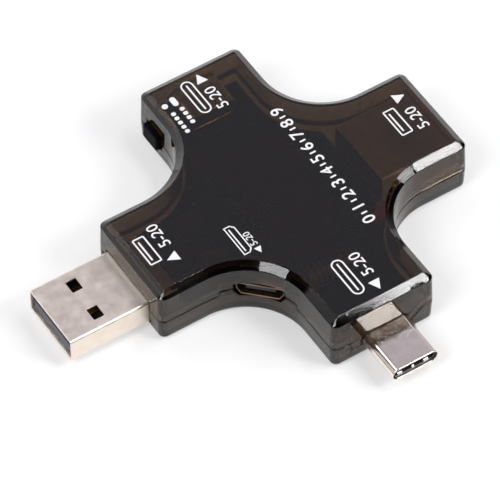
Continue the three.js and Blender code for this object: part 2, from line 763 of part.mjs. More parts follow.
addPiece('type_c_plug_shell', typeCPlugShell(), NICKEL, 0.25, 1);
addPiece('type_c_plug_insert', typeCPlugInsert(), INSULATOR);
addPiece('type_c_socket_shell', typeCSocketShell(), NICKEL, 0.3, 1);
addPiece('type_c_socket_insulator', typeCSocketInsulator(), INSULATOR);
addPiece('micro_usb_shell', microShell(), NICKEL, 0.3, 1);
addPiece('micro_usb_insulator', microInsulator(), INSULATOR);

addPiece('button_cap', buttonCap(), 0x101012, 0.4);
addPiece('switch_body', switchBody(), 0x1b1b1d);
addPiece('switch_plunger', switchPlunger(), 0x8a8d92);

addPiece('display_glass', displayGlass(), 0x0c0d10, 0.08);
addPiece('display_frame', displayFrame(), 0xd9d9d6, 0.5);
addPiece('display_ribbon', displayFlex(), 0x8a5a20, 0.4);

for (const part of BOARD_PARTS) {
  addPiece(part.name, boardPart(part), part.color, 0.45, part.metal ?? 0);
}

addPiece('indicator_led', indicatorLed(), 0xb01818, 0.3);

export default meter;
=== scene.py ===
import math

import bmesh
import bpy
from mathutils import Matrix, Vector


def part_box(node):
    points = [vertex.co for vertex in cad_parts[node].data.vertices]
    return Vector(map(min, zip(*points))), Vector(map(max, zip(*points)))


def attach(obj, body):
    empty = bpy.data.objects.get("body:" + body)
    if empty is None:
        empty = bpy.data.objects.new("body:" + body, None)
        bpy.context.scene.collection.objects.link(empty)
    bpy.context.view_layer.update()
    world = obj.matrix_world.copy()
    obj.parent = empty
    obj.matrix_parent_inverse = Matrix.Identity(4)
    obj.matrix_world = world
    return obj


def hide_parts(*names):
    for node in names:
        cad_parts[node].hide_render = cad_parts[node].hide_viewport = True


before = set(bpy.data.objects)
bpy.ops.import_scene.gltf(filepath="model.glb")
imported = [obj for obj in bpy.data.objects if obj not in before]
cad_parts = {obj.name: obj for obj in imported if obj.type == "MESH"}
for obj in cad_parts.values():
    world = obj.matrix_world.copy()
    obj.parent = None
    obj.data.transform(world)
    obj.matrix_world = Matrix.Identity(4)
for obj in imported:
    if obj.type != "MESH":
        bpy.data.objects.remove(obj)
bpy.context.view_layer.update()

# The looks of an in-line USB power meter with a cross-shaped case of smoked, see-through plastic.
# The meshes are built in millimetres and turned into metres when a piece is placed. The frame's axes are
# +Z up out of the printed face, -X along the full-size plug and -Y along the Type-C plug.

MM = 0.001


def box_mm(node):
    low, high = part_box(node)
    return low / MM, high / MM


# ------------------------------------------------------------------ driving dimensions, millimetres

CASE_HIGH = box_mm("top_cover")[1]
ARM_REACH_X = CASE_HIGH.x
ARM_REACH_Y = CASE_HIGH.y
CASE_HEIGHT = CASE_HIGH.z
ARM_HALF_WIDTH = 9.12
CORNER_RADIUS = 1.25
LEAST_CORNER_RADIUS = 0.15
HOLLOW_RADIUS = 10.4
HOLLOW_CENTRE = ARM_HALF_WIDTH + HOLLOW_RADIUS
CHAMFER_INSET = 1.45
CHAMFER_DROP = 1.12
BOTTOM_ROUND = 1.0
WALL = 1.2
EDGE_RADIUS = 0.22
DRAFT = math.tan(math.radians(2.0))
RIM_RADIUS = 0.07
INNER_CHAMFER = 0.2

# The middle point of a round lies this share of its radius from both of its sides
ROUND_MIDDLE = 0.3

# The ink stands proud of the top face, and the two together make the case's height
INK_HEIGHT = 0.02
TOP_FACE = CASE_HEIGHT - INK_HEIGHT

# Parting line
PARTING_Z = 4.3
PARTING_GAP = 0.24
LIP_HEIGHT = 0.9
LIP_INSET = 0.75
LIP_CLEARANCE = 0.2
MICRO_PARTING_Z = 5.3
MICRO_STEP_HALF_WIDTH = 5.9
TYPE_C_PARTING_Z = 2.6
TYPE_C_STEP_X = -6.0
TYPE_C_BEND = (4.6, 7.2)
STEP_SHIFT = 0.06
STEP_RUN = 0.04

# Ports. Sheet is the thickness of a shell's metal, and a cut runs on beyond the face that it opens
HOLE_CLEARANCE = 0.25
HOLE_DEPTH = WALL + 1.5
CUT_BEYOND = 1
MICRO_CUT_BEYOND = 2
A_HOLE_RADIUS = 0.55
MICRO_HOLE_RADIUS = 0.35
A_SHELL_RADIUS = 0.5
A_PLUG_SHEET = 0.3
A_SOCKET_SHEET = 0.29
C_PLUG_SHEET = 0.22
C_SOCKET_SHEET = 0.3
MICRO = {
    "width": 7.5,
    "height": 2.46,
    "sheet": 0.2,
    "radius": 0.38,
    "reach": 17.35,
    "length": 5.2,
    "foot": 6.0,
    "shoulder": 1.25,
}
A_WINDOW = {"from_tip": 5.2, "length": 1.8, "inner": 1.9, "width": 2.3, "radius": 0.15}
BUTTON = {"width": 4.0, "height": 3.2, "radius": 0.5, "edge": 0.38}

# Behind its front the button is measured from the middle of the cross, towards -X
BUTTON_STEM_BACK = 8.1
BUTTON_NECK = {"front": 8.4, "half_width": 1.9, "low": 4.0, "high": 6.0}
BUTTON_FLANGE_FRONT = 7.55

# Contacts and springs. A line is a strip's outline from the side, as places along the port and heights.
# The mouth is at 0 and the inside is negative
C_CONTACT_COUNT = 12
C_CONTACT_PITCH = 0.5
C_PLUG_LINING = {"inset": 0.3, "front": 0.35}
C_PLUG_SLOT = {"width": 6.9, "height": 0.9, "radius": 0.2, "depth": 5.2}
C_PLUG_CONTACT_WIDTH = 0.24
C_PLUG_CONTACT_LINE = [
    (-5.1, 0.44), (-5.1, 0.36), (-3.0, 0.24), (-1.4, 0.18),
    (-1.0, 0.3), (-1.0, 0.38), (-1.5, 0.27), (-3, 0.33),
]

# Ground fingers at the plug's mouth: x and width of each, and the line with a round hump that they share
GROUND_FINGER_PLACES = ((-2.5, 0.8), (-0.2, 0.4), (2.1, 0.8))
GROUND_FINGER = {"back": -0.95, "front": -0.32, "foot": -0.62}
GROUND_FINGER_HUMP = {"along": -0.62, "height": -0.5, "radius": 0.3}

C_SOCKET_CONTACT_WIDTH = 0.26
C_SOCKET_CONTACT_LINE = [(-5.2, 0.33), (-5.2, 0.39), (-1.3, 0.39), (-1.2, 0.33)]

# A spring's line has its drop from the shell's inner face in place of a height
A_SPRING = {"x": 3.4, "width": 1.9}
A_SPRING_LINE = [
    (-8.6, 0.02), (-8.6, 0.2), (-4.4, 0.52), (-3.2, 0.5),
    (-2.2, 0.12), (-2.3, 0.02), (-3.3, 0.36), (-4.4, 0.38),
]
MICRO_CONTACT = {"count": 5, "pitch": 0.65, "width": 0.36}
MICRO_CONTACT_LINE = [(-3.9, -0.42), (-3.9, -0.48), (-0.9, -0.48), (-0.8, -0.42)]

# Posts of the lower cover that carry the board
POST = {"x": 10.2, "y": 7.35, "radius": 1.3, "sides": 32, "root": WALL - 0.4, "below_board": 0.1}


# ------------------------------------------------------------------ mesh helpers


def arc(x, y, radius, start, end, steps):
    """Points on an arc from start to end degrees, both ends included."""
    points = []
    for step in range(steps + 1):
        angle = math.radians(start + (end - start) * step / steps)
        points.append((x + radius * math.cos(angle), y + radius * math.sin(angle)))
    return points


def rounded_rectangle(width, height, radius, steps=6):
    radius = min(radius, width / 2 - 0.001, height / 2 - 0.001)
    x, y = width / 2 - radius, height / 2 - radius
    points = []
    for side_x, side_y, start in ((1, -1, -90), (1, 1, 0), (-1, 1, 90), (-1, -1, 180)):
        points += arc(side_x * x, side_y * y, radius, start, start + 90, steps)
    return points


def fillet(before, corner, after, radius, steps=4):
    """Points of the round that replaces a corner of a profile."""
    before, corner, after = Vector(before), Vector(corner), Vector(after)
    back = (before - corner).normalized()
    ahead = (after - corner).normalized()
    half = back.angle(ahead) / 2
    centre = corner + (back + ahead).normalized() * radius / math.sin(half)
    run = radius / math.tan(half)
    first = corner + back * run - centre
    last = corner + ahead * run - centre
    points = []
    for step in range(steps + 1):
        points.append(tuple(centre + first.slerp(last, step / steps).normalized() * radius))
    return points


def rounded_polygon(corners, radius, steps=4):
    points = []
    for index, corner in enumerate(corners):
        after = corners[(index + 1) % len(corners)]
        points += fillet(corners[index - 1], corner, after, radius, steps)
    return points


def loft(rings, closed_ring=False):
    """A skin through rings of equally many points. It ends in two caps or runs back into its first ring."""
    count = len(rings[0])
    vertices = [point for ring in rings for point in ring]
    faces = []
    for ring in range(len(rings) if closed_ring else len(rings) - 1):
        here = ring * count
        there = ((ring + 1) % len(rings)) * count
        for index in range(count):
            after = (index + 1) % count
            faces.append((here + index, here + after, there + after, there + index))
    if not closed_ring:
        faces.append(tuple(reversed(range(count))))
        faces.append(tuple(range((len(rings) - 1) * count, len(rings) * count)))
    return vertices, faces


def new_object(name, vertices, faces):
    mesh = bpy.data.meshes.new(name)
    mesh.from_pydata([tuple(vertex) for vertex in vertices], [], faces)
    obj = bpy.data.objects.new(name, mesh)
    bpy.context.scene.collection.objects.link(obj)
    tidy_mesh(obj, 1e-5)
    return obj


def tidy_mesh(obj, distance, flat_angle=None):
    """Joins vertices that lie together, dissolves flat edges if asked, and turns every face outwards."""
    work = bmesh.new()
    work.from_mesh(obj.data)
    bmesh.ops.remove_doubles(work, verts=work.verts, dist=distance)
    if flat_angle is not None:
        bmesh.ops.dissolve_limit(work, angle_limit=flat_angle, verts=work.verts, edges=work.edges)
    bmesh.ops.recalc_face_normals(work, faces=work.faces)
    work.to_mesh(obj.data)
    work.free()


def prism(name, outline, start, end, placing=Matrix.Identity(4)):
    rings = [[placing @ Vector((x, y, z)) for x, y in outline] for z in (start, end)]
    return new_object(name, *loft(rings))


def block(name, low, high):
    outline = [(low[0], low[1]), (high[0], low[1]), (high[0], high[1]), (low[0], high[1])]
    return prism(name, outline, low[2], high[2])


def bake(obj):
    """Gives the object the mesh that its modifiers make."""
    graph = bpy.context.evaluated_depsgraph_get()
    mesh = bpy.data.meshes.new_from_object(obj.evaluated_get(graph))
    obj.modifiers.clear()
    old = obj.data
    obj.data = mesh
    bpy.data.meshes.remove(old)


def combine(obj, tools, operation="DIFFERENCE"):
    for tool in tools:
        modifier = obj.modifiers.new("combine", "BOOLEAN")
        modifier.operation = operation
        modifier.solver = "EXACT"
        modifier.object = tool
    bake(obj)
    for tool in tools:
        bpy.data.meshes.remove(tool.data)
    return obj


def soften(obj, width, segments=2, angle=40):
    modifier = obj.modifiers.new("soften", "BEVEL")
    modifier.width = width
    modifier.segments = segments
    modifier.limit_method = "ANGLE"
    modifier.angle_limit = math.radians(angle)
    bake(obj)
    return obj


def join(objects, name):
    """One object from several separate solids."""
    work = bmesh.new()
    for obj in objects:
        work.from_mesh(obj.data)
        bpy.data.meshes.remove(obj.data)
    mesh = bpy.data.meshes.new(name)
    work.to_mesh(mesh)
    work.free()
    obj = bpy.data.objects.new(name, mesh)
    bpy.context.scene.collection.objects.link(obj)
    return obj


def place(obj, material, body="meter", replaces=(), sharp=32):
    obj.data.transform(Matrix.Scale(MM, 4))
    obj.data.materials.clear()
    obj.data.materials.append(material)
    obj.data.shade_smooth()
    obj.data.set_sharp_from_angle(angle=math.radians(sharp))
    weighted = obj.modifiers.new("weighted_normals", "WEIGHTED_NORMAL")
    weighted.keep_sharp = True
    weighted.thresh = 0
    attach(obj, body)
    if replaces:
        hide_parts(*replaces)
    return obj


def softened_copy(node, material, width=0.06, body="meter", name=None):
    """The CAD node's own solid with rounded edges."""
    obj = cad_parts[node].copy()
    obj.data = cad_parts[node].data.copy()
    obj.name = name or node + "_body"
    for key in list(obj.keys()):
        del obj[key]
    obj.parent = None
    bpy.context.scene.collection.objects.link(obj)
    obj.data.transform(Matrix.Scale(1 / MM, 4))
    tidy_mesh(obj, 1e-4, math.radians(1))
    soften(obj, width)
    return place(obj, material, body, [node])


# ------------------------------------------------------------------ materials


def new_material(name, **values):
    """A Principled material. Values are socket names with _ for a space, set on the sockets themselves."""
    material = bpy.data.materials.new(name)
    material.use_nodes = True
    shader = material.node_tree.nodes["Principled BSDF"]
    for key, value in values.items():
        shader.inputs[key.replace("_", " ")].default_value = value
    return material, material.node_tree, shader


def object_coordinates(tree, stretch=(1, 1, 1)):
    source = tree.nodes.new("ShaderNodeTexCoord")
    mapping = tree.nodes.new("ShaderNodeMapping")
    mapping.inputs["Scale"].default_value = stretch
    tree.links.new(source.outputs["Object"], mapping.inputs["Vector"])
    return mapping.outputs["Vector"]


def noise(tree, per_mm, detail=3, stretch=(1, 1, 1), roughness=0.5):
    """A noise value with about per_mm features to the millimetre."""
    texture = tree.nodes.new("ShaderNodeTexNoise")
    texture.inputs["Scale"].default_value = per_mm / MM
    texture.inputs["Detail"].default_value = detail
    texture.inputs["Roughness"].default_value = roughness
    tree.links.new(object_coordinates(tree, stretch), texture.inputs["Vector"])
    return texture.outputs["Fac"]


def spread(tree, value, low, high, from_low=0.3, from_high=0.7):
    node = tree.nodes.new("ShaderNodeMapRange")
    node.inputs["From Min"].default_value = from_low
    node.inputs["From Max"].default_value = from_high
    node.inputs["To Min"].default_value = low
    node.inputs["To Max"].default_value = high
    tree.links.new(value, node.inputs["Value"])
    return node.outputs["Result"]


def ramp(tree, value, *stops):
    node = tree.nodes.new("ShaderNodeValToRGB")
    elements = node.color_ramp.elements
    while len(elements) < len(stops):
        elements.new(0.5)
    for element, (position, colour) in zip(elements, stops):
        element.position = position
        element.color = (*colour, 1)
    tree.links.new(value, node.inputs["Fac"])
    return node.outputs["Color"]


def bump(tree, shader, height, depth_mm, strength=1.0, under=None):
    node = tree.nodes.new("ShaderNodeBump")
    node.inputs["Strength"].default_value = strength
    node.inputs["Distance"].default_value = depth_mm * MM
    tree.links.new(height, node.inputs["Height"])
    if under is not None:
        tree.links.new(under, node.inputs["Normal"])
    tree.links.new(node.outputs["Normal"], shader.inputs["Normal"])
    return node.outputs["Normal"]


def smoked_plastic():
    """Polished smoked polycarbonate: clear, with the brown-grey tint in its depth."""
    material, tree, shader = new_material(
        "smoked_plastic", Base_Color=(1, 1, 1, 1), Roughness=0.05, IOR=1.5, Transmission_Weight=1.0
    )
    tint = tree.nodes.new("ShaderNodeVolumeAbsorption")
    tint.inputs["Color"].default_value = (0.341, 0.209, 0.0194, 1)
    tint.inputs["Density"].default_value = 1700
    tree.links.new(tint.outputs["Volume"], tree.nodes["Material Output"].inputs["Volume"])
    wear = noise(tree, 0.35, 6, roughness=0.65)
    tree.links.new(spread(tree, wear, 0.03, 0.09), shader.inputs["Roughness"])
    waves = bump(tree, shader, noise(tree, 0.12, 1), 0.03, 0.5)
    bump(tree, shader, noise(tree, 4, 2), 0.0006, 0.2, waves)
    return material


def plated_metal(name, colour, rough, along=(1, 1, 1), grain_depth=0.004, dulled=(0.92, 0.9, 0.88)):
    """Plated sheet: a satin grain drawn out along the sheet, cloudy roughness and faint tarnish."""
    material, tree, shader = new_material(name, Metallic=1.0)
    clouds = noise(tree, 0.5, 5, roughness=0.6)
    tarnished = tuple(value * share for value, share in zip(colour, dulled))
    tree.links.new(ramp(tree, clouds, (0.35, tarnished), (0.62, colour)), shader.inputs["Base Color"])
    grain = noise(tree, 9, 3, along)
    tree.links.new(spread(tree, clouds, rough * 0.8, rough * 1.25), shader.inputs["Roughness"])
    bump(tree, shader, grain, grain_depth, 0.12)
    return material


def moulded_plastic(name, colour, rough, grain_mm=0.12, depth=0.006, **values):
    """Moulded resin: fine grain, a little change of tone, and slightly uneven gloss."""
    material, tree, shader = new_material(name, **values)
    clouds = noise(tree, 0.8, 4)
    lighter = tuple(min(1, value * 1.35 + 0.004) for value in colour)
    tree.links.new(ramp(tree, clouds, (0.35, colour), (0.7, lighter)), shader.inputs["Base Color"])
    tree.links.new(spread(tree, clouds, rough * 0.85, rough * 1.2), shader.inputs["Roughness"])
    bump(tree, shader, noise(tree, 1 / grain_mm, 2), depth, 0.6)
    return material


def lipped_nylon(shade_from_x):
    """Nylon, blue-grey at its front lip beyond the given x along -X and near-black behind it. The near-black
    is painted shade, for the shade inside the plug seen through its windows.
    """
    material, tree, shader = new_material("lipped_nylon", Roughness=0.45)
    place_x = tree.nodes.new("ShaderNodeSeparateXYZ")
    tree.links.new(object_coordinates(tree), place_x.inputs["Vector"])
    share = spread(tree, place_x.outputs["X"], 1, 0, shade_from_x * MM, (shade_from_x + 0.1) * MM)
    # Painted shade: near-black behind the front lip, blue-grey at the lip
    colour = ramp(tree, share, (0.4, (0.010, 0.009, 0.009)), (0.6, (0.075, 0.078, 0.11)))
    tree.links.new(colour, shader.inputs["Base Color"])
    bump(tree, shader, noise(tree, 8, 2), 0.006, 0.6)
    return material


def solder_mask():
    """Black solder mask with raised copper tracks and tinned vias under it."""
    material, tree, shader = new_material("black_solder_mask", Specular_IOR_Level=0.15)
    tracks = tree.nodes.new("ShaderNodeTexBrick")
    tracks.inputs["Scale"].default_value = 1 / MM
    tracks.inputs["Mortar Size"].default_value = 0.09
    tracks.inputs["Brick Width"].default_value = 2.3
    tracks.inputs["Row Height"].default_value = 0.72
    tree.links.new(object_coordinates(tree), tracks.inputs["Vector"])
    vias = tree.nodes.new("ShaderNodeTexVoronoi")
    vias.inputs["Scale"].default_value = 0.42 / MM
    tree.links.new(object_coordinates(tree), vias.inputs["Vector"])
    ring = spread(tree, vias.outputs["Distance"], 1, 0, 0.1, 0.13)
    mask = ramp(tree, tracks.outputs["Fac"], (0.2, (0.010, 0.011, 0.015)), (0.8, (0.022, 0.024, 0.030)))
    mix = tree.nodes.new("ShaderNodeMix")
    mix.data_type = "RGBA"
    tree.links.new(ring, mix.inputs["Factor"])
    tree.links.new(mask, mix.inputs["A"])
    mix.inputs["B"].default_value = (0.14, 0.13, 0.11, 1)
    tree.links.new(mix.outputs["Result"], shader.inputs["Base Color"])
    tree.links.new(ring, shader.inputs["Metallic"])
    tree.links.new(spread(tree, noise(tree, 1.2), 0.3, 0.45), shader.inputs["Roughness"])
    bump(tree, shader, tracks.outputs["Fac"], 0.03, 0.6)
    return material


def white_ink():
    """Screen-printed ink with a fine grain."""
    material, tree, shader = new_material("white_ink", Roughness=0.5)
    grain = noise(tree, 6, 3)
    colour = ramp(tree, grain, (0.3, (0.72, 0.72, 0.73)), (0.7, (0.82, 0.82, 0.83)))
    tree.links.new(colour, shader.inputs["Base Color"])
    bump(tree, shader, grain, 0.004, 0.5)
    return material


def dark_glass():
    """The face of the display, switched off, with a barely lighter grid of cells."""
    material, tree, shader = new_material(
        "dark_glass", Roughness=0.2, Coat_Weight=0.2, Coat_Roughness=0.1, IOR=1.52, Specular_IOR_Level=0.2
    )
    cells = tree.nodes.new("ShaderNodeTexBrick")
    cells.inputs["Scale"].default_value = 4 / MM
    cells.offset = 0
    cells.inputs["Mortar Size"].default_value = 0.06
    tree.links.new(object_coordinates(tree), cells.inputs["Vector"])
    colour = ramp(tree, cells.outputs["Fac"], (0.3, (0.006, 0.006, 0.009)), (0.8, (0.007, 0.007, 0.010)))
    tree.links.new(colour, shader.inputs["Base Color"])
    return material


def polyimide():
    """Amber film of the flat cable, with its copper lines."""
    material, tree, shader = new_material("polyimide", Transmission_Weight=0.15, IOR=1.7)
    lines = tree.nodes.new("ShaderNodeTexWave")
    lines.bands_direction = "X"
    lines.inputs["Scale"].default_value = 0.35 / MM
    tree.links.new(object_coordinates(tree), lines.inputs["Vector"])
    colour = ramp(tree, lines.outputs["Fac"], (0.4, (0.10, 0.05, 0.015)), (0.6, (0.15, 0.085, 0.03)))
    tree.links.new(colour, shader.inputs["Base Color"])
    tree.links.new(spread(tree, noise(tree, 1), 0.25, 0.4), shader.inputs["Roughness"])
    return material


def diode_lens():
    """Red lens of the unlit lamp, with a faint painted glow that stands in for light on its red."""
    # The emission is a painted glow: the lamp is not lit
    material, tree, shader = new_material(
        "red_lens_painted_glow", Roughness=0.25, IOR=1.5, Emission_Color=(0.9, 0.03, 0.02, 1), Emission_Strength=0.04
    )
    clouds = noise(tree, 1.5, 2)
    colour = ramp(tree, clouds, (0.3, (0.32, 0.015, 0.012)), (0.7, (0.42, 0.03, 0.022)))
    tree.links.new(colour, shader.inputs["Base Color"])
    return material


SMOKED = smoked_plastic()
NICKEL = plated_metal("nickel_plate", (0.92, 0.83, 0.74), 0.38, along=(0.05, 1, 1), grain_depth=0.002)
NICKEL_C = plated_metal("drawn_nickel", (0.92, 0.84, 0.77), 0.17, along=(1, 0.05, 1))
# The micro USB shell's plating is darkened well below real plate: painted shade for the shade inside the port
# in its hollow
BRASS_DARKENED_AS_SHADE = plated_metal("micro_shell_plate_painted_shade", (0.27, 0.20, 0.14), 0.33)
TIN = plated_metal("bright_tin", (0.78, 0.77, 0.75), 0.28)
GOLD = plated_metal("gold_flash", (0.86, 0.62, 0.28), 0.22, dulled=(0.9, 0.85, 0.75))
INSULATOR = moulded_plastic("dark_nylon", (0.016, 0.018, 0.024), 0.42)
# The full-size plug's insulator, with painted shade behind its front lip
NYLON_PAINTED_INNER_SHADE = lipped_nylon(box_mm("usb_a_plug_insulator")[0].x + 0.8)
EPOXY = moulded_plastic("black_epoxy", (0.014, 0.014, 0.016), 0.5, 0.08, 0.008)
BUTTON_BLACK = moulded_plastic("satin_black", (0.002, 0.002, 0.003), 0.5, 0.1, 0.004, Specular_IOR_Level=0.03)
FRAME_GREY = moulded_plastic("frame_grey", (0.05, 0.05, 0.055), 0.5, 0.15, 0.004, Specular_IOR_Level=0.1)
OCHRE = moulded_plastic("capacitor_epoxy", (0.11, 0.065, 0.02), 0.45, 0.08, 0.008)
FERRITE = moulded_plastic("ferrite", (0.035, 0.036, 0.038), 0.6, 0.06, 0.02)
MASK = solder_mask()
INK = white_ink()
DISPLAY = dark_glass()
AMBER = polyimide()
RED_LENS_PAINTED_GLOW = diode_lens()


# ------------------------------------------------------------------ case


def span(start, end, steps):
    return [start + (end - start) * step / steps for step in range(steps + 1)]


# Places along an arm's end wall and round a hollow where the parting line steps or bends
STEP_EDGES = [side * STEP_SHIFT + half for side in (-1, 1) for half in (-STEP_RUN / 2, STEP_RUN / 2)]
END_WALL_PLACES = (
    [-7.2]
    + [TYPE_C_STEP_X + edge for edge in STEP_EDGES]
    + [-4.5, -3, -1.5, 0, 1.5, 3]
    + span(TYPE_C_BEND[0], TYPE_C_BEND[1], 10)
)
HOLLOW_ANGLES = span(-45, 45, 48)
MICRO_EDGES = [side * (MICRO_STEP_HALF_WIDTH + edge) for side in (-1, 1) for edge in STEP_EDGES]
MICRO_STEP_ANGLES = [math.degrees(math.asin(edge / HOLLOW_RADIUS)) for edge in MICRO_EDGES]
MICRO_HOLLOW_ANGLES = sorted(HOLLOW_ANGLES + MICRO_STEP_ANGLES)

# The outline is drawn in four quarters, each an arm's end and the hollow after it, from the +X arm round
MICRO_QUARTER = 2
TYPE_C_QUARTER = 3
CORNER_STEPS = 8


def case_outline(inset):
    """The plan outline pulled in by inset. Every inset gives equally many points, in the same order."""
    half = ARM_HALF_WIDTH - inset
    corner = max(CORNER_RADIUS - inset, LEAST_CORNER_RADIUS)
    hollow = HOLLOW_RADIUS + inset
    points = []
    for quarter in range(4):
        reach = (ARM_REACH_Y if quarter % 2 else ARM_REACH_X) - inset
        local = arc(reach - corner, corner - half, corner, -90, 0, CORNER_STEPS)
        if quarter == TYPE_C_QUARTER:
            local += [(reach, side) for side in END_WALL_PLACES]
        local += arc(reach - corner, half - corner, corner, 0, 90, CORNER_STEPS)
        for angle in MICRO_HOLLOW_ANGLES if quarter == MICRO_QUARTER else HOLLOW_ANGLES:
            turned = math.radians(-135 - angle)
            local.append(
                (HOLLOW_CENTRE + hollow * math.cos(turned), HOLLOW_CENTRE + hollow * math.sin(turned))
            )
        turn = Matrix.Rotation(quarter * math.pi / 2, 2)
        points += [turn @ Vector(point) for point in local]
    return points


def parting_height(point, side):
    """Height of a cover's edge at a point of the outer outline. side is 1 for the upper cover, -1 for the
    lower, and the joint's gap lies between the two."""
    x, y = point
    gap = side * PARTING_GAP / 2
    if y < -ARM_REACH_Y + 0.01 and x > TYPE_C_STEP_X + side * STEP_SHIFT:
        share = (x - TYPE_C_BEND[0]) / (TYPE_C_BEND[1] - TYPE_C_BEND[0])
        share = min(1, max(0, share))
        share = share * share * (3 - 2 * share)
        return TYPE_C_PARTING_Z + share * (PARTING_Z - TYPE_C_PARTING_Z) + gap
    near_micro = (Vector(point) + Vector((HOLLOW_CENTRE, HOLLOW_CENTRE))).length < HOLLOW_RADIUS + 0.01
    across = abs(y - x) * math.sqrt(0.5)
    if near_micro and across < MICRO_STEP_HALF_WIDTH + side * STEP_SHIFT:
        return MICRO_PARTING_Z + gap
    return PARTING_Z + gap


def case_skin(name, stations, side):
    """A closed skin through stations of inset, height and True where the height is from the parting line."""
    outer = case_outline(0)
    heights = [parting_height(point, side) for point in outer]
    rings = []
    for inset, z, from_parting in stations:
        outline = case_outline(inset)
        ring = []
        for point, height in zip(outline, heights):
            ring.append((point.x, point.y, z + (height if from_parting else 0)))
        rings.append(ring)
    return new_object(name, *loft(rings))


def fixed(points):
    return [(inset, z, False) for inset, z in points]


def rim(points):
    return [(inset, z, True) for inset, z in points]


def upper_stations():
    """From the top face down the outside, round the lower edge and up the inside to the ceiling."""
    run = CHAMFER_INSET / CHAMFER_DROP
    crown = (CHAMFER_INSET - INK_HEIGHT * run, TOP_FACE)
    shoulder_z = (run * CASE_HEIGHT - CHAMFER_INSET - DRAFT * PARTING_Z) / (run - DRAFT)
    shoulder = ((shoulder_z - PARTING_Z) * DRAFT, shoulder_z)
    relief = LIP_INSET - LIP_CLEARANCE
    relief_top = LIP_HEIGHT + LIP_CLEARANCE
    middle = RIM_RADIUS * ROUND_MIDDLE
    return (
        fixed(reversed(fillet(shoulder, crown, (crown[0] + 1, TOP_FACE), EDGE_RADIUS)))
        + fixed(reversed(fillet((0, PARTING_Z), shoulder, crown, EDGE_RADIUS)))
        + rim([(0, RIM_RADIUS), (middle, middle), (RIM_RADIUS, 0)])
        + rim([(relief - RIM_RADIUS, 0), (relief, RIM_RADIUS), (relief, relief_top), (WALL, relief_top)])
        + fixed([(WALL, CASE_HEIGHT - WALL - INNER_CHAMFER), (WALL + INNER_CHAMFER, CASE_HEIGHT - WALL)])
    )


def lower_stations():
    """From the underside up the outside, over the lip and down the inside to the floor."""
    foot = (PARTING_Z - BOTTOM_ROUND) * DRAFT
    rounding = [(foot + BOTTOM_ROUND - x, BOTTOM_ROUND + y) for x, y in arc(0, 0, BOTTOM_ROUND, -90, 0, 8)]
    lip = LIP_HEIGHT
    middle = RIM_RADIUS * ROUND_MIDDLE
    return (
        fixed(rounding)
        + rim([(0, -RIM_RADIUS), (middle, -middle), (RIM_RADIUS, 0), (LIP_INSET, 0)])
        + rim([(LIP_INSET, lip - RIM_RADIUS), (LIP_INSET + RIM_RADIUS, lip), (WALL - RIM_RADIUS, lip)])
        + rim([(WALL, lip - RIM_RADIUS)])
        + fixed([(WALL, WALL + INNER_CHAMFER), (WALL + INNER_CHAMFER, WALL)])
    )


def port_frame(angle, reach, z, shift=0):
    """A port's own axes: x across the mouth, y up, z out of the case. Its origin is the mouth's centre."""
    turn = math.radians(angle)
    outward = Vector((math.cos(turn), math.sin(turn), 0))
    across = Vector((-math.sin(turn), math.cos(turn), 0))
    up = Vector((0, 0, 1))
    placing = Matrix((across, up, outward)).transposed().to_4x4()
    placing.translation = outward * reach + across * shift + up * z
    return placing


class Port:
    """A plug or socket on one of the four arms, measured on its shell's CAD node."""

    def __init__(self, node, angle, case_reach):
        low, high = box_mm(node)
        centre = (low + high) / 2
        outward = Vector((round(math.cos(math.radians(angle))), round(math.sin(math.radians(angle))), 0))
        across = Vector((-outward.y, outward.x, 0))
        size = high - low
        self.width = abs(size.dot(across))
        self.height = size.z
        self.length = abs(size.dot(outward))
        self.reach = centre.dot(outward) + self.length / 2
        self.frame = port_frame(angle, self.reach, centre.z, centre.dot(across))
        self.outside = self.reach - case_reach

    def hole(self, radius):
        width = self.width + 2 * HOLE_CLEARANCE
        height = self.height + 2 * HOLE_CLEARANCE
        outline = rounded_rectangle(width, height, radius, 8)
        return prism("hole", outline, -self.outside - HOLE_DEPTH, -self.outside + CUT_BEYOND, self.frame)


A_PLUG = Port("usb_a_plug_shell", 180, ARM_REACH_X)
A_SOCKET = Port("usb_a_socket_shell", 0, ARM_REACH_X)
C_PLUG = Port("type_c_plug_shell", -90, ARM_REACH_Y)
C_SOCKET = Port("type_c_socket_shell", 90, ARM_REACH_Y)
MICRO_LOW, MICRO_HIGH = box_mm("micro_usb_shell")
MICRO_FRAME = port_frame(-135, MICRO["reach"], (MICRO_LOW.z + MICRO_HIGH.z) / 2)
BUTTON_LOW, BUTTON_HIGH = box_mm("button_cap")
BUTTON_Y = (BUTTON_LOW.y + BUTTON_HIGH.y) / 2
BUTTON_Z = BUTTON_LOW.z + BUTTON["height"] / 2


def micro_profile(inset, radius):
    """The micro USB mouth, pulled in evenly: wide at the top, with slanted lower corners."""
    run = (MICRO["width"] - MICRO["foot"]) / 2
    rise = MICRO["shoulder"]
    slant = math.hypot(run, rise)
    x = MICRO["width"] / 2 - inset
    y = MICRO["height"] / 2 - inset
    foot = MICRO["foot"] / 2 - inset * (slant - run) / rise
    shoulder = rise - MICRO["height"] / 2 + inset * (slant - rise) / run
    return rounded_polygon([(-foot, -y), (foot, -y), (x, shoulder), (x, y), (-x, y), (-x, shoulder)], radius)


def case_holes():
    button_room = (BUTTON["width"] / 2 + HOLE_CLEARANCE, BUTTON["height"] / 2 + HOLE_CLEARANCE)
    micro = micro_profile(-HOLE_CLEARANCE, MICRO_HOLE_RADIUS)
    return [
        A_PLUG.hole(A_HOLE_RADIUS),
        A_SOCKET.hole(A_HOLE_RADIUS),
        C_PLUG.hole(C_PLUG.height),
        C_SOCKET.hole(C_SOCKET.height),
        prism("hole", micro, -HOLE_DEPTH, MICRO_CUT_BEYOND, MICRO_FRAME),
        block(
            "hole",
            (-ARM_HALF_WIDTH - CUT_BEYOND, BUTTON_Y - button_room[0], BUTTON_Z - button_room[1]),
            (-ARM_HALF_WIDTH + HOLE_DEPTH, BUTTON_Y + button_room[0], BUTTON_Z + button_room[1]),
        ),
    ]


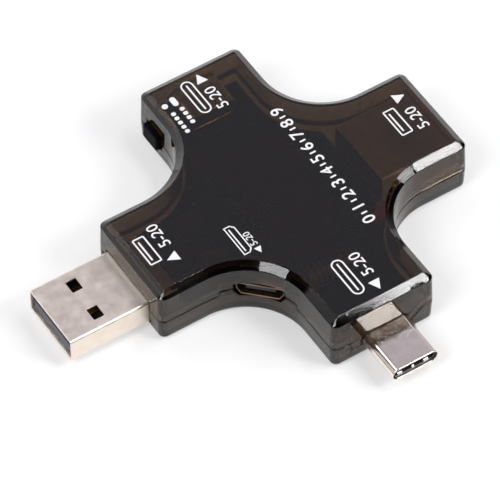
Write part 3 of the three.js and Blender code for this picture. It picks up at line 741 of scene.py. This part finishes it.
def support_posts():
    """Four posts that rise from the floor to just under the board."""
    top = box_mm("main_board")[0].z - POST["below_board"]
    last_angle = 360 - 360 / POST["sides"]
    posts = []
    for x in (-POST["x"], POST["x"]):
        for y in (-POST["y"], POST["y"]):
            outline = arc(x, y, POST["radius"], 0, last_angle, POST["sides"] - 1)
            posts.append(prism("post", outline, POST["root"], top))
    return posts


def build_case():
    upper = combine(case_skin("upper_cover", upper_stations(), 1), case_holes())
    place(upper, SMOKED, replaces=["top_cover"])
    lower = combine(case_skin("lower_cover", lower_stations(), -1), case_holes())
    combine(lower, support_posts(), "UNION")
    place(lower, SMOKED, replaces=["bottom_cover"])


# ------------------------------------------------------------------ plugs and sockets


def sheet_tube(name, profile, sheet, back, front, placing, steps=6):
    """A tube of bent sheet with round lips. profile gives the outline for an inset."""
    half = sheet / 2
    stations = []
    for angle in span(0, 180, steps):
        turn = math.radians(angle)
        stations.append((half - half * math.cos(turn), front - half + half * math.sin(turn)))
    for angle in span(0, 180, steps):
        turn = math.radians(angle)
        stations.append((half + half * math.cos(turn), back + half - half * math.sin(turn)))
    rings = [[placing @ Vector((x, y, z)) for x, y in profile(inset)] for inset, z in stations]
    return new_object(name, *loft(rings, closed_ring=True))


def box_profile(port, radius, steps=8):
    def profile(inset):
        least = max(radius - inset, 0.05)
        return rounded_rectangle(port.width - 2 * inset, port.height - 2 * inset, least, steps)

    return profile


def build_a_plug():
    """Folded shell with two windows in each broad side."""
    profile = box_profile(A_PLUG, A_SHELL_RADIUS)
    shell = sheet_tube("usb_a_plug_jacket", profile, A_PLUG_SHEET, -A_PLUG.length, 0, A_PLUG.frame)
    windows = []
    upright = A_PLUG.frame @ Matrix.Rotation(math.radians(-90), 4, "X")
    middle = -A_WINDOW["from_tip"] - A_WINDOW["length"] / 2
    outline = rounded_rectangle(A_WINDOW["width"], A_WINDOW["length"], A_WINDOW["radius"], 3)
    for side in (-1, 1):
        x = side * (A_WINDOW["inner"] + A_WINDOW["width"] / 2)
        moved = [(x + px, py - middle) for px, py in outline]
        windows.append(prism("window", moved, -A_PLUG.height, A_PLUG.height, upright))
    combine(shell, windows)
    soften(shell, 0.07, 2, 50)
    place(shell, NICKEL, replaces=["usb_a_plug_shell"])


def contact_rows(line, width, placing):
    """The two facing rows of a Type-C port's contacts."""
    strips = []
    for side in (-1, 1):
        for index in range(C_CONTACT_COUNT):
            x = (index - (C_CONTACT_COUNT - 1) / 2) * C_CONTACT_PITCH
            strips.append(side_strip("strip", line, x, width, side, placing))
    return strips


def build_c_plug():
    """Drawn shell with its lining, two rows of contacts, and the ground fingers at the mouth."""
    oval = box_profile(C_PLUG, C_PLUG.height / 2, 12)
    shell = sheet_tube("type_c_plug_jacket", oval, C_PLUG_SHEET, -C_PLUG.length, 0, C_PLUG.frame)
    place(shell, NICKEL_C, replaces=["type_c_plug_shell"])
    inset = C_PLUG_LINING["inset"]
    back = -C_PLUG.length + inset
    lining = prism("type_c_plug_lining", oval(inset), back, -C_PLUG_LINING["front"], C_PLUG.frame)
    slot = rounded_rectangle(C_PLUG_SLOT["width"], C_PLUG_SLOT["height"], C_PLUG_SLOT["radius"])
    combine(lining, [prism("slot", slot, -C_PLUG_SLOT["depth"], CUT_BEYOND, C_PLUG.frame)])
    soften(lining, 0.06, 2, 50)
    place(lining, INSULATOR, replaces=["type_c_plug_insert"])
    strips = contact_rows(C_PLUG_CONTACT_LINE, C_PLUG_CONTACT_WIDTH, C_PLUG.frame)
    place(join(strips, "type_c_plug_contacts"), GOLD)
    hump = [GROUND_FINGER_HUMP[key] for key in ("along", "height", "radius")]
    line = [(GROUND_FINGER["back"], GROUND_FINGER["foot"])] + arc(*hump, 150, 0, 10)
    line.append((GROUND_FINGER["front"], GROUND_FINGER["foot"]))
    fingers = []
    for x, width in GROUND_FINGER_PLACES:
        fingers.append(side_strip("finger", line, x, width, 1, C_PLUG.frame))
    place(join(fingers, "type_c_plug_ground_fingers"), TIN)


def side_strip(name, line, x, width, side, placing):
    """A strip whose outline, depth by height, is drawn from the side and given a width across the port."""
    rings = []
    for across in (x - width / 2, x + width / 2):
        rings.append([placing @ Vector((across, side * height, depth)) for depth, height in line])
    return new_object(name, *loft(rings))


def build_c_socket():
    oval = box_profile(C_SOCKET, C_SOCKET.height / 2, 12)
    shell = sheet_tube("type_c_socket_jacket", oval, C_SOCKET_SHEET, -C_SOCKET.length, 0, C_SOCKET.frame)
    place(shell, NICKEL_C, replaces=["type_c_socket_shell"])
    softened_copy("type_c_socket_insulator", INSULATOR, 0.08, name="type_c_socket_tongue")
    strips = contact_rows(C_SOCKET_CONTACT_LINE, C_SOCKET_CONTACT_WIDTH, C_SOCKET.frame)
    place(join(strips, "type_c_socket_contacts"), GOLD)


def build_a_socket():
    """Shell with its tongue, and two springs on its lower wall."""
    profile = box_profile(A_SOCKET, A_SHELL_RADIUS)
    shell = sheet_tube("usb_a_socket_jacket", profile, A_SOCKET_SHEET, -A_SOCKET.length, 0, A_SOCKET.frame)
    place(shell, NICKEL, replaces=["usb_a_socket_shell"])
    softened_copy("usb_a_socket_insulator", INSULATOR, 0.1, name="usb_a_socket_tongue")
    inner = A_SOCKET.height / 2 - A_SOCKET_SHEET
    line = [(along, inner - drop) for along, drop in A_SPRING_LINE]
    springs = []
    for x in (-A_SPRING["x"], A_SPRING["x"]):
        springs.append(side_strip("spring", line, x, A_SPRING["width"], -1, A_SOCKET.frame))
    place(join(springs, "usb_a_socket_springs"), NICKEL)


def build_micro():
    def profile(inset):
        return micro_profile(inset, max(MICRO["radius"] - inset, 0.1))

    shell = sheet_tube("micro_usb_jacket", profile, MICRO["sheet"], -MICRO["length"], 0, MICRO_FRAME)
    place(shell, BRASS_DARKENED_AS_SHADE, replaces=["micro_usb_shell"])
    softened_copy("micro_usb_insulator", INSULATOR, 0.07, name="micro_usb_tongue")
    strips = []
    for index in range(MICRO_CONTACT["count"]):
        x = (index - (MICRO_CONTACT["count"] - 1) / 2) * MICRO_CONTACT["pitch"]
        strips.append(side_strip("strip", MICRO_CONTACT_LINE, x, MICRO_CONTACT["width"], 1, MICRO_FRAME))
    place(join(strips, "micro_usb_contacts"), GOLD)


def build_button():
    """Cap with a rolled front edge, and the flange behind the wall that keeps it in."""
    face = -BUTTON_LOW.x
    placing = port_frame(180, 0, BUTTON_Z, -BUTTON_Y)
    stations = [(0, BUTTON_STEM_BACK), (0, face - BUTTON["edge"])]
    for angle in (22.5, 45, 67.5, 90):
        turn = math.radians(angle)
        inset = BUTTON["edge"] * (1 - math.cos(turn))
        stations.append((inset, face - BUTTON["edge"] * (1 - math.sin(turn))))
    rings = []
    for inset, depth in stations:
        width = BUTTON["width"] - 2 * inset
        height = BUTTON["height"] - 2 * inset
        outline = rounded_rectangle(width, height, BUTTON["radius"] - inset)
        rings.append([placing @ Vector((x, y, depth)) for x, y in outline])
    cap = new_object("button_face", *loft(rings))
    half, low, high = (BUTTON_NECK[key] for key in ("half_width", "low", "high"))
    neck = block(
        "neck",
        (-BUTTON_NECK["front"], BUTTON_Y - half, low),
        (BUTTON_HIGH.x - 0.2, BUTTON_Y + half, high),
    )
    flange = block("flange", (-BUTTON_FLANGE_FRONT, BUTTON_LOW.y, low), tuple(BUTTON_HIGH))
    combine(cap, [neck, flange], "UNION")
    soften(cap, 0.05, 2, 50)
    place(cap, BUTTON_BLACK, body="button", replaces=["button_cap"])


# ------------------------------------------------------------------ printed marks

MARK_LIFT = 0.004
MARK_BASE = TOP_FACE + MARK_LIFT
SCALE_BOLD = 0.035

# Height of a digit as a share of the font's size
CAP_SHARE = 0.72

# A port's sign. Foot, shoulder and lift are shares of half its width, half its height and its height, and
# the bar's sizes are shares of the line's width
SIGN = {"radius": 0.3, "least_radius": 0.08, "foot": 0.8, "shoulder": 0.3, "lift": 0.13}
SIGN_BAR = {"short_by": 6, "width": 1.1, "radius": 0.3}

# A dash is a share of its pitch long, and its corners are rounded by a share of its width
DASH = {"length": 0.7, "radius": 0.3}

# A tick's height is a share of the digits' height
TICK = {"width": 0.3, "height": 0.5, "radius": 0.1}


def ink_slab(outline):
    return prism("ink", outline, MARK_BASE, CASE_HEIGHT)


def arrow(x, y, heading, length=1.9, width=1.95):
    """A solid triangle whose tip is at x, y and points along heading, in degrees from +X."""
    turn = Matrix.Rotation(math.radians(heading), 2)
    corners = [(0, 0), (-length, width / 2), (-length, -width / 2)]
    return ink_slab([tuple(turn @ Vector(c) + Vector((x, y))) for c in corners])


def frame_mark(outer, inner):
    obj = ink_slab(outer)
    return combine(obj, [prism("hole", inner, MARK_BASE - CUT_BEYOND, CASE_HEIGHT + CUT_BEYOND)])


def printed(outline, x, y):
    """Turns a mark drawn as it is read into its place: it reads along +Y, with its top towards -X."""
    return [(x - v, y + u) for u, v in outline]


def digits(text, x, y, height, bold=0.015):
    """Digits that read along +Y, with their middle at x, y. bold thickens the strokes."""
    curve = bpy.data.curves.new("digits", "FONT")
    curve.body = text
    curve.size = height / CAP_SHARE
    curve.align_x = "CENTER"
    curve.align_y = "CENTER"
    curve.extrude = (CASE_HEIGHT - MARK_BASE) / 2
    curve.offset = bold
    curve.resolution_u = 4
    obj = bpy.data.objects.new("digits", curve)
    bpy.context.scene.collection.objects.link(obj)
    graph = bpy.context.evaluated_depsgraph_get()
    mesh = bpy.data.meshes.new_from_object(obj.evaluated_get(graph))
    bpy.data.curves.remove(curve)
    made = bpy.data.objects.new("digits", mesh)
    bpy.context.scene.collection.objects.link(made)
    mesh.transform(Matrix.Rotation(math.radians(90), 4, "Z"))
    mesh.transform(Matrix.Translation((x, y, (CASE_HEIGHT + MARK_BASE) / 2)))
    tidy_mesh(made, 1e-4)
    return made


def port_sign(kind, x, y, length, height=2.1, line=0.26):
    """A port's face in outline, with its contact tongue as a bar."""
    if kind == "micro":
        def outline(inset):
            x_side, y_side = length / 2 - inset, height / 2 - inset
            foot, shoulder = x_side * SIGN["foot"], -y_side * SIGN["shoulder"]
            lower = [(-foot, -y_side), (foot, -y_side), (x_side, shoulder)]
            return lower + [(x_side, y_side), (-x_side, y_side), (-x_side, shoulder)]
    else:
        radius = height / 2 if kind == "oval" else SIGN["radius"]

        def outline(inset):
            corner = max(radius - inset, SIGN["least_radius"])
            return rounded_rectangle(length - 2 * inset, height - 2 * inset, corner, 5)
    bar_length = length - SIGN_BAR["short_by"] * line
    lift = 0 if kind == "oval" else height * SIGN["lift"]
    bar = rounded_rectangle(bar_length, line * SIGN_BAR["width"], line * SIGN_BAR["radius"], 2)
    bar = [(u, v + lift) for u, v in bar]
    return [
        frame_mark(printed(outline(0), x, y), printed(outline(line), x, y)),
        ink_slab(printed(bar, x, y)),
    ]


def dashes(count, x, y, length, width=0.75):
    """Short bars in a row along +Y, centred on x, y."""
    pitch = length / count
    dash = rounded_rectangle(pitch * DASH["length"], width, width * DASH["radius"], 2)
    marks = []
    for index in range(count):
        middle = y + (index - (count - 1) / 2) * pitch
        marks.append(ink_slab(printed(dash, x, middle)))
    return marks


def scale_line(x, y0, y1, steps, height):
    """Numbers from 0 up with a tick between each two."""
    tick = rounded_rectangle(TICK["width"], height * TICK["height"], TICK["radius"], 2)
    marks = []
    pitch = (y1 - y0) / steps
    for index in range(steps + 1):
        marks.append(digits(str(index), x, y0 + index * pitch, height, SCALE_BOLD))
        if index < steps:
            marks.append(ink_slab(printed(tick, x, y0 + (index + 0.5) * pitch)))
    return marks


# Places of the marks: x, y and, for a port's arrow, the heading or, for its sign, the kind and length
PORT_ARROWS = ((-22.9, -3.3, 180), (0.3, 25.2, 90), (24.8, 4.3, 0), (0.65, -25.1, -90))
PORT_SIGNS = (
    ("rectangle", -24.4, -0.1, 5.6),
    ("oval", -2.2, 21.3, 7.2),
    ("rectangle", 20.9, 0.3, 5.6),
    ("oval", -2.2, -20.6, 7.4),
)
RANGE_PLACES = ((-21.4, 1.4), (0.5, 19.6), (23.9, -0.6), (0.9, -19.6))
RANGE_TEXT = "5-20"
RANGE_HEIGHT = 1.9
MICRO_ARROW = {"x": -10.3, "y": -9.7, "heading": -90, "length": 1.2, "width": 1.2}
MICRO_SIGN = {"kind": "micro", "x": -11.9, "y": -5.8, "length": 6.0, "height": 1.7, "line": 0.2}
MICRO_RANGE = {"x": -10.3, "y": -6.6, "height": 1.15, "bold": 0.01}
BUTTON_BAR = {"x": -5.5, "y": 22.4, "width": 1.9, "height": 0.95, "radius": 0.45}
BUTTON_DOT = {"x": -7.2, "y": 22.3, "radius": 0.5, "last_angle": 345, "steps": 23}
BUTTON_DASHES = (
    {"count": 5, "x": -6.9, "y": 18.3, "length": 5.0},
    {"count": 4, "x": -5.2, "y": 19.0, "length": 4.0},
)
NUMBER_SCALE = {"x": 6.7, "y0": -13.1, "y1": 12.1, "steps": 9, "height": 2.1}


def build_marks():
    marks = [arrow(x, y, heading) for x, y, heading in PORT_ARROWS]
    marks.append(arrow(**MICRO_ARROW))
    bar = rounded_rectangle(BUTTON_BAR["width"], BUTTON_BAR["height"], BUTTON_BAR["radius"])
    marks.append(ink_slab(printed(bar, BUTTON_BAR["x"], BUTTON_BAR["y"])))
    dot = [BUTTON_DOT[key] for key in ("x", "y", "radius")]
    marks.append(ink_slab(arc(*dot, 0, BUTTON_DOT["last_angle"], BUTTON_DOT["steps"])))
    for kind, x, y, length in PORT_SIGNS:
        marks += port_sign(kind, x, y, length)
    marks += port_sign(**MICRO_SIGN)
    for x, y in RANGE_PLACES:
        marks.append(digits(RANGE_TEXT, x, y, RANGE_HEIGHT))
    marks.append(digits(RANGE_TEXT, **MICRO_RANGE))
    for row in BUTTON_DASHES:
        marks += dashes(**row)
    marks += scale_line(**NUMBER_SCALE)
    place(join(marks, "printed_marks"), INK)


# ------------------------------------------------------------------ inside


EPOXY_CHIPS = (
    "microcontroller",
    "shunt_resistor",
    "voltage_regulator",
    "power_switch_chip",
    "protocol_chip",
)


def build_inside():
    softened_copy("main_board", MASK, 0.05, name="circuit_board")
    softened_copy("usb_a_plug_insulator", NYLON_PAINTED_INNER_SHADE, 0.12)
    for index in range(1, 5):
        softened_copy(f"usb_a_plug_contact_{index}", GOLD, 0.04)
        softened_copy(f"usb_a_socket_contact_{index}", GOLD, 0.05)
    softened_copy("switch_body", EPOXY)
    softened_copy("switch_plunger", TIN, body="plunger")
    softened_copy("display_glass", DISPLAY, 0.1)
    softened_copy("display_frame", FRAME_GREY, 0.1)
    softened_copy("display_ribbon", AMBER, 0.02)
    for node in EPOXY_CHIPS:
        softened_copy(node, EPOXY, 0.1)
    softened_copy("filter_inductor", FERRITE, 0.25)
    softened_copy("crystal", TIN, 0.25)
    softened_copy("tantalum_capacitor_input", OCHRE, 0.12)
    softened_copy("tantalum_capacitor_output", OCHRE, 0.12)
    softened_copy("indicator_led", RED_LENS_PAINTED_GLOW, 0.15)


# ------------------------------------------------------------------ studio

CAMERA = {"azimuth": -32.27, "elevation": 51.35, "roll": -0.72, "distance": 633, "lens": 303.8}
CAMERA_TARGET = Vector((-9.66, -5.46, 6.0))


def build_camera():
    azimuth, elevation, roll = (math.radians(CAMERA[key]) for key in ("azimuth", "elevation", "roll"))
    level = math.cos(elevation)
    away = Vector((math.sin(azimuth) * level, -math.cos(azimuth) * level, math.sin(elevation)))
    right = Vector((math.cos(azimuth), math.sin(azimuth), 0))
    up = away.cross(right)
    turned_right = right * math.cos(roll) + up * math.sin(roll)
    turned_up = up * math.cos(roll) - right * math.sin(roll)
    data = bpy.data.cameras.new("camera")
    data.lens = CAMERA["lens"]
    data.clip_start = 0.01
    data.clip_end = 50
    camera = bpy.data.objects.new("camera", data)
    bpy.context.scene.collection.objects.link(camera)
    placing = Matrix((turned_right, turned_up, away)).transposed().to_4x4()
    placing.translation = (CAMERA_TARGET + away * CAMERA["distance"]) * MM
    camera.matrix_world = placing
    bpy.context.scene.camera = camera


# Soft lights, all at one distance. The shift moves a light in its own plane, aside and up
LIGHT_DISTANCE = 600

# Power of an area light for each unit of its area and of its face's radiance
POWER_PER_RADIANCE = 4
SOFTBOXES = {
    "key_softbox": {
        "direction": (0.42, -0.62, 0.663),
        "size": (130, 165),
        "shift": (12, 5),
        "radiance": 15,
        "colour": (1, 0.99, 1),
    },
    "key_softbox_wing": {
        "direction": (0.62, -0.45, 0.643),
        "size": (190, 170),
        "shift": (30, -15),
        "radiance": 6.5,
        "colour": (1, 0.99, 1),
    },
    "left_softbox": {
        "direction": (-0.64, -0.10, 0.76),
        "size": (260, 250),
        "shift": (45, 0),
        "radiance": 7,
        "colour": (0.98, 0.98, 1.0),
    },
    "overhead_strip": {
        "direction": (0.333, -0.13, 0.934),
        "size": (290, 110),
        "shift": (0, 0),
        "radiance": 7,
        "colour": (1, 0.99, 0.98),
    },
    "top_card": {
        "direction": (-0.20, 0.50, 0.84),
        "size": (150, 150),
        "shift": (0, 0),
        "radiance": 3.2,
        "colour": (1, 1, 1),
    },
}


def softbox(name, direction, size, shift, radiance, colour):
    """A rectangular soft light that faces the object."""
    away = Vector(direction).normalized()
    right = Vector((0, 0, 1)).cross(away).normalized()
    up = away.cross(right)
    data = bpy.data.lights.new(name, "AREA")
    data.shape = "RECTANGLE"
    data.size = size[0] * MM
    data.size_y = size[1] * MM
    data.energy = POWER_PER_RADIANCE * data.size * data.size_y * radiance
    data.color = colour
    light = bpy.data.objects.new(name, data)
    bpy.context.scene.collection.objects.link(light)
    placing = Matrix((right, up, away)).transposed().to_4x4()
    placing.translation = (away * LIGHT_DISTANCE + right * shift[0] + up * shift[1]) * MM
    light.matrix_world = placing
    light.visible_camera = False


# The studio is dark but for two glows behind the object, one high and one low. A glow's stops are the
# cosine of the angle from its middle, and a colour
GLOW_STRENGTH = 1.35
HIGH_GLOW = {
    "middle": (0.5, 0.8, 0.33),
    "stops": ((0.62, (0.02, 0.02, 0.025)), (0.82, (0.35, 0.34, 0.39)), (0.9, (0.425, 0.415, 0.475))),
}
LOW_GLOW = {
    "middle": (-0.405, 0.892, 0.203),
    "stops": ((0.80, (0, 0, 0)), (0.86, (0.9, 0.9, 0.9)), (0.94, (1.0, 1.0, 1.0))),
}
FLOOR_REACH = 3000
FLOOR_Z = -0.02


def build_world():
    world = bpy.data.worlds.new("studio")
    bpy.context.scene.world = world
    world.use_nodes = True
    tree = world.node_tree
    direction = tree.nodes.new("ShaderNodeTexCoord")
    glows = []
    for glow in (HIGH_GLOW, LOW_GLOW):
        toward = tree.nodes.new("ShaderNodeVectorMath")
        toward.operation = "DOT_PRODUCT"
        toward.inputs[1].default_value = glow["middle"]
        tree.links.new(direction.outputs["Generated"], toward.inputs[0])
        glows.append(ramp(tree, toward.outputs["Value"], *glow["stops"]))
    total = tree.nodes.new("ShaderNodeMix")
    total.data_type = "RGBA"
    total.blend_type = "ADD"
    total.inputs["Factor"].default_value = 1
    tree.links.new(glows[0], total.inputs["A"])
    tree.links.new(glows[1], total.inputs["B"])
    tree.links.new(total.outputs["Result"], tree.nodes["Background"].inputs["Color"])
    tree.nodes["Background"].inputs["Strength"].default_value = GLOW_STRENGTH


def build_floor():
    corners = [(-1, -1), (1, -1), (1, 1), (-1, 1)]
    vertices = [(x * FLOOR_REACH, y * FLOOR_REACH, FLOOR_Z) for x, y in corners]
    floor = new_object("floor", vertices, [(0, 1, 2, 3)])
    floor.data.transform(Matrix.Scale(MM, 4))
    material, _, _ = new_material(
        "white_sweep",
        Base_Color=(0.5, 0.5, 0.5, 1),
        Roughness=0.9,
        Emission_Color=(1, 1, 1, 1),
        Emission_Strength=0.43,
    )
    floor.data.materials.append(material)


def build_studio():
    build_camera()
    build_world()
    build_floor()
    for name, values in SOFTBOXES.items():
        softbox(name, **values)
    bpy.context.scene.view_settings.view_transform = "Standard"


build_studio()
build_case()
build_a_plug()
build_c_plug()
build_c_socket()
build_a_socket()
build_micro()
build_button()
build_marks()
build_inside()
